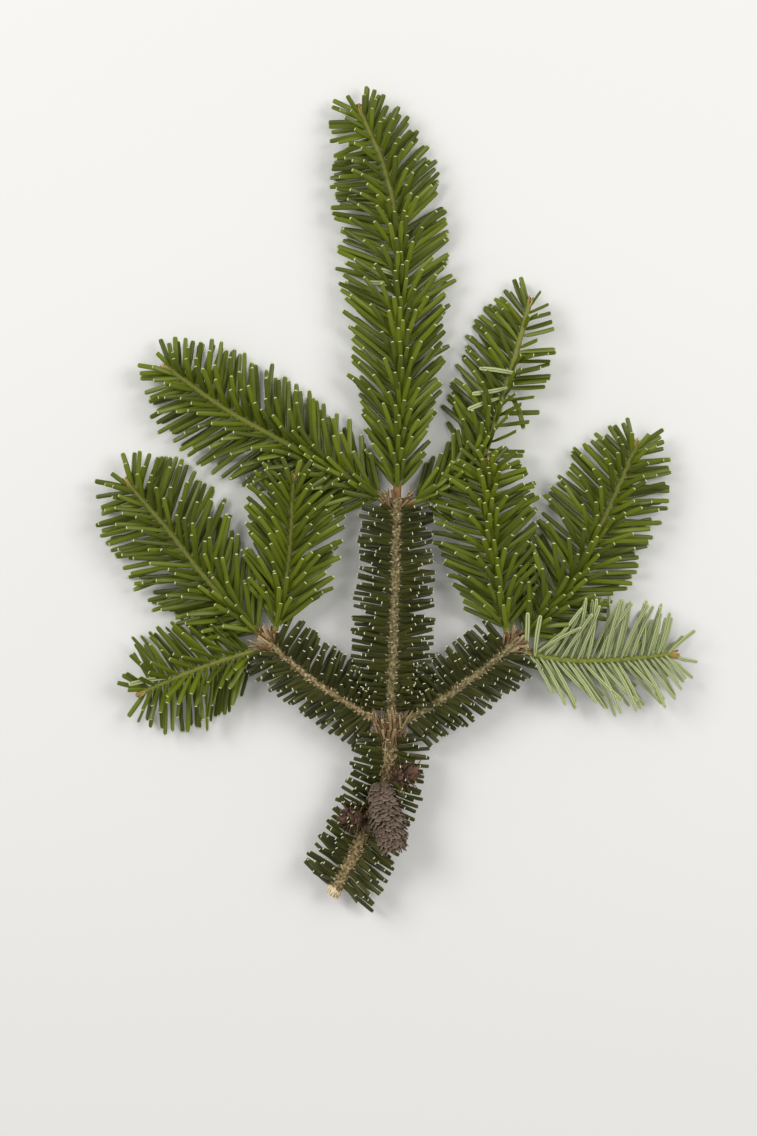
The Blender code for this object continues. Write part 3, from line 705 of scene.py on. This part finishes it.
STEM_SIDES = 20
STEM_STEP = 1.0
BROWN_LENGTH = 7.0         # of a young stem's foot
RIBS = 9
RIB_HEIGHT = 0.08
RIB_TURN = 0.06            # in radians for each millimetre along the stem
KNOB_HEIGHT = 0.05
KNOB_RATE = 1.7            # in radians for each millimetre along the stem


def stem_relief(along, turn):
    """Return how far a young stem stands out: low ribs, and knobs where the needles leave it."""
    rib = RIB_HEIGHT * math.cos(RIBS * turn + RIB_TURN * along)
    return rib + KNOB_HEIGHT * math.sin(KNOB_RATE * along)


def build_stems():
    """Add the young shoots' stems: yellow-green, ribbed, and brown at the foot."""
    green = new_material("green_bark", (0.16, 0.17, 0.025), 0.55, bump=0.4)
    brown = new_material("brown_foot", (0.20, 0.105, 0.035), 0.6, bump=0.4)
    for name, shoot in SHOOTS.items():
        path = shoot_path(shoot, STEM_STEP)
        radii = [profile(shoot.radii, index / (len(path) - 1)) for index in range(len(path))]
        pile = Pile()
        slots = [1 if index * STEM_STEP < BROWN_LENGTH else 0 for index in range(len(path) - 1)]
        add_tube(pile, tube_points(path, radii, STEM_SIDES, stem_relief), slots)
        finish_piece(pile.build(name + "_stem", [green, brown]), "green_bark", name)


BARK_SIDES = 40
BARK_STEP = 0.5
RIGHT_SPIRALS = (3.0, 1.7)         # how many cross a ring, and their radians for each millimetre
LEFT_SPIRALS = (5.0, 1.1)
CUSHION_HEIGHT = 0.45
SCALE_HEIGHT = 0.4
SCALE_RATES = (0.5, 1.6)           # of the uneven scales, along the limb and round it
GRAIN_HEIGHT = 0.12
GRAIN_RATE = 4.0                   # finer than the scales by this
BARK_SINK = 0.15


def bark_relief(along, turn):
    """Return how far old bark stands out: leaf cushions in crossing spirals, and uneven scales."""
    right_spiral = math.cos(RIGHT_SPIRALS[0] * turn + RIGHT_SPIRALS[1] * along)
    left_spiral = math.cos(LEFT_SPIRALS[0] * turn - LEFT_SPIRALS[1] * along)
    cushion = max(0.0, right_spiral) * max(0.0, left_spiral)
    lengthwise, across = SCALE_RATES
    spot = Vector((along * lengthwise, math.cos(turn) * across, math.sin(turn) * across))
    scales = SCALE_HEIGHT * noise.noise(spot)
    grain = GRAIN_HEIGHT * noise.noise(spot * GRAIN_RATE)
    return CUSHION_HEIGHT * cushion + scales + grain - BARK_SINK


CUT_DEPTH = 1.4            # how far inside the cut the first whole ring of bark lies


def cut_ring():
    """Return the number of the first ring of the main stem's bark that lies inside the cut."""
    path = limb_path("main_stem", BARK_STEP)
    normal = Vector(CUT_NORMAL).normalized()
    inside = [(point - Vector(CUT_POINT)).dot(normal) < -CUT_DEPTH for point in path]
    return inside.index(True) - 1


def slid_to_cut(ring, forward):
    """Slide a ring's points along the stem to the plane of the cut."""
    normal = np.array(CUT_NORMAL) / np.linalg.norm(CUT_NORMAL)
    way = np.array(forward[:])
    past = (ring - np.array(CUT_POINT)) @ normal / (way @ normal)
    return ring - past[:, None] * way


def build_limbs():
    """Add the old limbs' bark: golden tan on two of them, greyer on the other two."""
    tan = bark_material("tan_bark", (0.050, 0.030, 0.012), (0.20, 0.145, 0.062), (0.50, 0.39, 0.20))
    grey = bark_material("grey_bark", (0.045, 0.034, 0.014), (0.17, 0.138, 0.058), (0.42, 0.35, 0.18))
    for name in LIMBS:
        path = limb_path(name, BARK_STEP)
        length = path_length(path)
        radii = [limb_radius(name, length, index / (len(path) - 1)) for index in range(len(path))]
        pile = Pile()
        rings = tube_points(path, radii, BARK_SIDES, bark_relief)
        if name == "main_stem":
            rings = rings[cut_ring():]
            rings[0] = slid_to_cut(rings[0], direction_at(path, 0))
        add_tube(pile, rings, [0] * (len(rings) - 1))
        is_tan = name in ("main_stem", "left_bough")
        slot = "bark" if is_tan else "grey_bark"
        finish_piece(pile.build(name + "_bark", [tan if is_tan else grey]), slot, name)


# Scales, whiskers, buds and scars

Fruit = namedtuple("Fruit", "stalk_foot start end radii")
FRUIT = {
    "old_cone": Fruit((-6.6, -119.6, 12.2), (-8.6, -119.6, 18.0), (-2.6, -146.0, 19.4),
                      (3.0, 5.2, 6.6, 7.0, 5.8)),
    "bud_cluster_right": Fruit((-4.0, -118.8, 11.4), (-1.4, -118.2, 15.8), (5.4, -115.4, 18.0),
                               (3.4, 5.0, 4.6, 2.6)),
    "bud_cluster_left": Fruit((-12.8, -136.4, 10.6), (-15.2, -135.8, 15.0), (-22.6, -134.2, 16.6),
                              (2.8, 4.4, 4.2, 2.4)),
}
Blade = namedtuple("Blade", "length width thickness side_bend up_bend")
CORE_SHARE = 0.62          # where a fruit's scales leave it, as a share of its radius
CORE_OVERLAP = 0.1         # how far its body reaches past their roots, as a share too
CORE_STEP = 1.5
CORE_SIDES = 16
STALK_SHARE = 0.3          # how far along the fruit its stalk ends inside it
STALK_RADIUS = 1.1
STALK_SIDES = 10
CONE_SCALE = Blade(3.8, 3.3, 0.4, 6.0, -25.0)
CONE_BRISTLE = Blade(4.2, 0.8, 0.4, 25.0, -10.0)
BUD_SCALE = Blade(3.0, 1.8, 0.4, 20.0, -35.0)
WHISKER = Blade(4.8, 0.5, 0.4, 60.0, 30.0)
COLLAR_SCALE = Blade(5.5, 1.3, 0.4, 30.0, -10.0)
STRAND = Blade(12.0, 0.85, 0.5, 40.0, -14.0)
TIP_BUD_SCALE = Blade(3.2, 1.7, 0.4, 8.0, -30.0)
SCAR = Blade(1.3, 0.95, 0.5, 0.0, 0.0)
SPLINTER = Blade(2.4, 0.9, 0.6, 10.0, 0.0)
LONG_SPLINTER = Blade(4.2, 0.9, 0.6, 10.0, 0.0)

# How blades cover a fruit: how many, over which stretch, and their angles along it
Cover = namedtuple("Cover", "blade count span angles")
CONE_COVERS = (
    Cover(CONE_SCALE, 280, (0.0, 0.97), (62.0, 66.0, 40.0)),
    Cover(CONE_BRISTLE, 110, (0.55, 1.0), (60.0, 20.0)))
CLUSTER_COVERS = (
    Cover(BUD_SCALE, 80, (0.0, 1.0), (60.0, 40.0, 15.0)),
    Cover(WHISKER, 45, (0.0, 1.0), (85.0, 60.0, 20.0)))

# How blades are scattered on a stem: how many, and between which angles to it
Scatter = namedtuple("Scatter", "blade count angles")
COLLAR = Scatter(COLLAR_SCALE, 46, (12.0, 62.0))
STEM_STRANDS = Scatter(STRAND, 60, (3.0, 9.0))
FORK_STRANDS = Scatter(STRAND, 40, (8.0, 40.0))
TIP_BUD = Scatter(TIP_BUD_SCALE, 16, (6.0, 36.0))
SCAR_ANGLES = (60.0, 85.0)
SCARS_PER_MM = 1.5
COLLAR_LENGTH = 6.0
SCARLESS_SHARE = 0.6       # of the collar's length, bare at a limb's foot
STEM_STRAND_SHARES = (0.1, 0.8)
FORK_STRAND_SHARES = (0.86, 0.98)
TIP_BUD_LENGTH = 1.6
TIP_BUD_RADIUS = 0.9
BLADE_PATH_STEP = 1.0
LOWEST_BLADE = -0.35       # height of the lowest blades round a stem
LOWEST_BUD_SCALE = -0.9

# How much blades differ
BLADE_ANGLE_SPREAD = 8.0
BLADE_TWIST_SPREAD = 20.0
BLADE_LENGTH_SHARES = (0.75, 1.2)
BLADE_WIDTH_SHARES = (0.8, 1.2)
FACE_LEAN = 0.02           # keeps a blade's face defined where it stands straight out

# Splinters of the cut
SPLINTERS = 90
SPLINTER_REACH = 2.75
SPLINTER_DEPTH = 0.8
SPLINTER_ANGLE = 4.0
LONG_SPLINTER_EVERY = 5


def scale_materials(name, tones, edge, band, tip):
    """Return the six materials of scales, in the needles' order: tones, edge, band and tip."""
    made = [new_material(f"{name}_{index}", tone, SCALE_ROUGHNESS, bump=SCALE_BUMP)
            for index, tone in enumerate(tones)]
    return made + [new_material(f"{name}_{part}", colour, SCALE_ROUGHNESS)
                   for part, colour in (("edge", edge), ("band", band), ("tip", tip))]


def blade_at(root, forward, radial, angle, blade, rng):
    """Return a scale or strand that leaves a stem at an angle, its upper side outwards."""
    angle += rng.uniform(-BLADE_ANGLE_SPREAD, BLADE_ANGLE_SPREAD)
    direction = aim(forward, radial, radial, angle, 0.0)
    twist = rng.uniform(-BLADE_TWIST_SPREAD, BLADE_TWIST_SPREAD)
    face = turned_face(direction, radial - forward * FACE_LEAN, twist)
    length = blade.length * rng.uniform(*BLADE_LENGTH_SHARES)
    width = blade.width * rng.uniform(*BLADE_WIDTH_SHARES)
    side_bend = blade.side_bend * rng.uniform(-1.0, 1.0)
    return Needle(root, direction, face, length, width, blade.thickness, side_bend, blade.up_bend,
                  rng.randrange(TONES))


def fruit_blades(fruit, cover, rng):
    """Return blades in a spiral over a stretch of a fruit's body."""
    start = Vector(fruit.start)
    end = Vector(fruit.end)
    forward = (end - start).normalized()
    left, up = frame_of(forward)
    blades = []
    first, last = cover.span
    for index in range(cover.count):
        within = (index + 0.5) / cover.count
        share = first + (last - first) * within
        turn = index * GOLDEN_ANGLE
        radial = left * math.cos(turn) + up * math.sin(turn)
        root = start.lerp(end, share) + radial * (profile(fruit.radii, share) * CORE_SHARE)
        angle = profile(cover.angles, within)
        blades.append(blade_at(root, forward, radial, angle, cover.blade, rng))
    return blades


def add_core(pile, fruit):
    """Add the body under a fruit's scales, and its stalk down into the main stem."""
    start = Vector(fruit.start)
    end = Vector(fruit.end)
    body = smooth_path([start, start.lerp(end, 0.5), end], CORE_STEP)
    radii = [profile(fruit.radii, index / (len(body) - 1)) * (CORE_SHARE + CORE_OVERLAP)
             for index in range(len(body))]
    add_tube(pile, tube_points(body, radii, CORE_SIDES), [BAND_SLOT] * (len(body) - 1))
    stalk = smooth_path([fruit.stalk_foot, start.lerp(end, STALK_SHARE)], CORE_STEP)
    add_tube(pile, tube_points(stalk, [STALK_RADIUS] * len(stalk), STALK_SIDES), [0] * (len(stalk) - 1))


def build_fruit():
    """Add the old cone and the two clusters of dry bud scales."""
    rng = random.Random(SEED + 1)
    cone = scale_materials(
        "cone", [(0.12, 0.086, 0.060), (0.155, 0.112, 0.080), (0.09, 0.062, 0.042)],
        (0.30, 0.23, 0.18), (0.05, 0.033, 0.022), (0.36, 0.28, 0.22))
    dry = scale_materials(
        "dry", [(0.085, 0.044, 0.026), (0.12, 0.066, 0.04), (0.055, 0.028, 0.018)],
        (0.15, 0.085, 0.05), (0.04, 0.02, 0.012), (0.24, 0.16, 0.10))
    for name, fruit in FRUIT.items():
        is_cone = name == "old_cone"
        pile = Pile()
        add_core(pile, fruit)
        for cover in CONE_COVERS if is_cone else CLUSTER_COVERS:
            add_needles(pile, fruit_blades(fruit, cover, rng))
        slot = "dry_cone" if is_cone else "dry_buds"
        finish_piece(pile.build(name + "_scales", cone if is_cone else dry), slot, name)


def scattered_blades(path, radius, shares, scatter, rng, low=LOWEST_BLADE):
    """Return blades on the upper side of a stem, scattered over a stretch of its length."""
    blades = []
    for index in range(scatter.count):
        share = rng.uniform(*shares)
        place, forward = point_at(path, share)
        left, up = frame_of(forward)
        height = rng.uniform(low, 1.0)
        side = left if index % 2 else -left
        radial = side * math.sqrt(1.0 - height ** 2) + up * height
        root = place + radial * (radius - ROOT_DEPTH)
        angle = rng.uniform(*scatter.angles)
        blades.append(blade_at(root, forward, radial, angle, scatter.blade, rng))
    return blades


def build_scales():
    """Add the collars at the whorls, the strands at the fork, the tip buds and the leaf scars."""
    rng = random.Random(SEED + 2)
    tan = scale_materials(
        "collar", [(0.36, 0.28, 0.14), (0.27, 0.19, 0.09), (0.17, 0.09, 0.04)],
        (0.45, 0.34, 0.2), (0.16, 0.08, 0.04), (0.58, 0.46, 0.28))
    bud = scale_materials(
        "tip_bud", [(0.33, 0.26, 0.07), (0.38, 0.31, 0.10), (0.27, 0.18, 0.05)],
        (0.42, 0.32, 0.12), (0.16, 0.09, 0.03), (0.50, 0.42, 0.2))
    cream = scale_materials("scar", [(0.62, 0.54, 0.34), (0.52, 0.44, 0.26), (0.42, 0.34, 0.19)],
                            (0.3, 0.22, 0.12), (0.3, 0.22, 0.12), (0.66, 0.58, 0.38))
    for name in LIMBS:
        path = limb_path(name, BLADE_PATH_STEP)
        length = path_length(path)
        _, middle, end = LIMBS[name].radii
        collar = COLLAR_LENGTH / length
        pile = Pile()
        add_needles(pile, scattered_blades(path, end, (1.0 - collar, 1.0), COLLAR, rng))
        if name == "main_stem":
            add_needles(pile, scattered_blades(path, middle, STEM_STRAND_SHARES, STEM_STRANDS, rng))
            add_needles(pile, scattered_blades(path, end, FORK_STRAND_SHARES, FORK_STRANDS, rng))
        finish_piece(pile.build(name + "_scales", tan), "bud_scales", name)
        scars = Scatter(SCAR, round(length * SCARS_PER_MM), SCAR_ANGLES)
        shares = (collar * SCARLESS_SHARE, 1.0 - collar)
        dots = Pile()
        add_needles(dots, scattered_blades(path, middle + ROOT_DEPTH, shares, scars, rng))
        finish_piece(dots.build(name + "_scars", cream), "grey_bark", name)
    pile = Pile()
    for shoot in SHOOTS.values():
        path = shoot_path(shoot, BLADE_PATH_STEP)
        shares = (1.0 - TIP_BUD_LENGTH / path_length(path), 1.0)
        add_needles(pile, scattered_blades(path, TIP_BUD_RADIUS, shares, TIP_BUD, rng,
                                           low=LOWEST_BUD_SCALE))
    finish_piece(pile.build("tip_buds", bud), "bud_scales", *SHOOTS)


def build_cut():
    """Add the pale torn wood of the cut, with splinters that stand out of it."""
    rng = random.Random(SEED + 3)
    pale = scale_materials("splinter", [(0.66, 0.54, 0.34), (0.72, 0.62, 0.42), (0.56, 0.42, 0.24)],
                           (0.6, 0.48, 0.3), (0.5, 0.36, 0.2), (0.76, 0.66, 0.48))
    path = limb_path("main_stem", BARK_STEP)
    backward = -direction_at(path, 0)
    left, up = frame_of(-backward)
    splinters = []
    for index in range(SPLINTERS):
        turn = index * GOLDEN_ANGLE
        reach = SPLINTER_REACH * math.sqrt((index + 0.5) / SPLINTERS)
        sideways = (left * math.cos(turn) + up * math.sin(turn)) * reach
        root = Vector(CUT_POINT) + sideways - backward * SPLINTER_DEPTH
        blade = SPLINTER if index % LONG_SPLINTER_EVERY else LONG_SPLINTER
        splinters.append(blade_at(root, backward, up, SPLINTER_ANGLE, blade, rng))
    pile = Pile()
    add_needles(pile, splinters)
    finish_piece(pile.build("cut_splinters", pale), "cut_wood", "main_stem")


# Stage

CAMERA_HEIGHT = 1150.0
BRANCH_HEIGHT = 10.0               # at which the frame has the height below
FRAME_MIDDLE = (-8.6, -30.25)
FRAME_HEIGHT = 477.3
SENSOR = 36.0
FLOOR_HALF = 3.0                   # in metres, as are the lights' places and size
FLOOR_COLOUR = (0.66, 0.655, 0.64)
SKY_COLOUR = (1.0, 0.99, 0.97, 1.0)
SKY_STRENGTH = 0.5
LIGHTS = {"left": ((-0.9, 0.5, 1.1), 14.0), "right": ((0.9, 0.3, 1.1), 12.0)}
LIGHT_SIZE = 0.7


def build_floor():
    """Add the pale floor."""
    half = FLOOR_HALF
    mesh = bpy.data.meshes.new("floor")
    corners = [(-half, -half, 0.0), (half, -half, 0.0), (half, half, 0.0), (-half, half, 0.0)]
    mesh.from_pydata(corners, [], [(0, 1, 2, 3)])
    mesh.materials.append(new_material("floor", FLOOR_COLOUR, 0.8))
    floor = bpy.data.objects.new("floor", mesh)
    bpy.context.scene.collection.objects.link(floor)


def build_lights():
    """Add an even pale sky and two large soft lights that aim at the branch."""
    world = bpy.data.worlds.new("studio")
    world.use_nodes = True
    sky = world.node_tree.nodes["Background"]
    sky.inputs["Color"].default_value = SKY_COLOUR
    sky.inputs["Strength"].default_value = SKY_STRENGTH
    bpy.context.scene.world = world
    for name, (place, power) in LIGHTS.items():
        light = bpy.data.lights.new(name, "AREA")
        light.energy = power
        light.size = LIGHT_SIZE
        lamp = bpy.data.objects.new(name, light)
        lamp.location = place
        lamp.rotation_euler = (-Vector(place)).to_track_quat("-Z", "Y").to_euler()
        bpy.context.scene.collection.objects.link(lamp)


def build_camera():
    """Add the camera, which looks straight down, with the leader's tip towards the top."""
    scene = bpy.context.scene
    scene.view_settings.view_transform = "Standard"
    camera = bpy.data.cameras.new("camera")
    camera.sensor_width = SENSOR
    camera.lens = SENSOR * (CAMERA_HEIGHT - BRANCH_HEIGHT) / FRAME_HEIGHT
    viewer = bpy.data.objects.new("camera", camera)
    viewer.location = to_part((*FRAME_MIDDLE, CAMERA_HEIGHT))
    scene.collection.objects.link(viewer)
    scene.camera = viewer


build_needles()
build_stems()
build_limbs()
build_fruit()
build_scales()
build_cut()
build_floor()
build_lights()
build_camera()
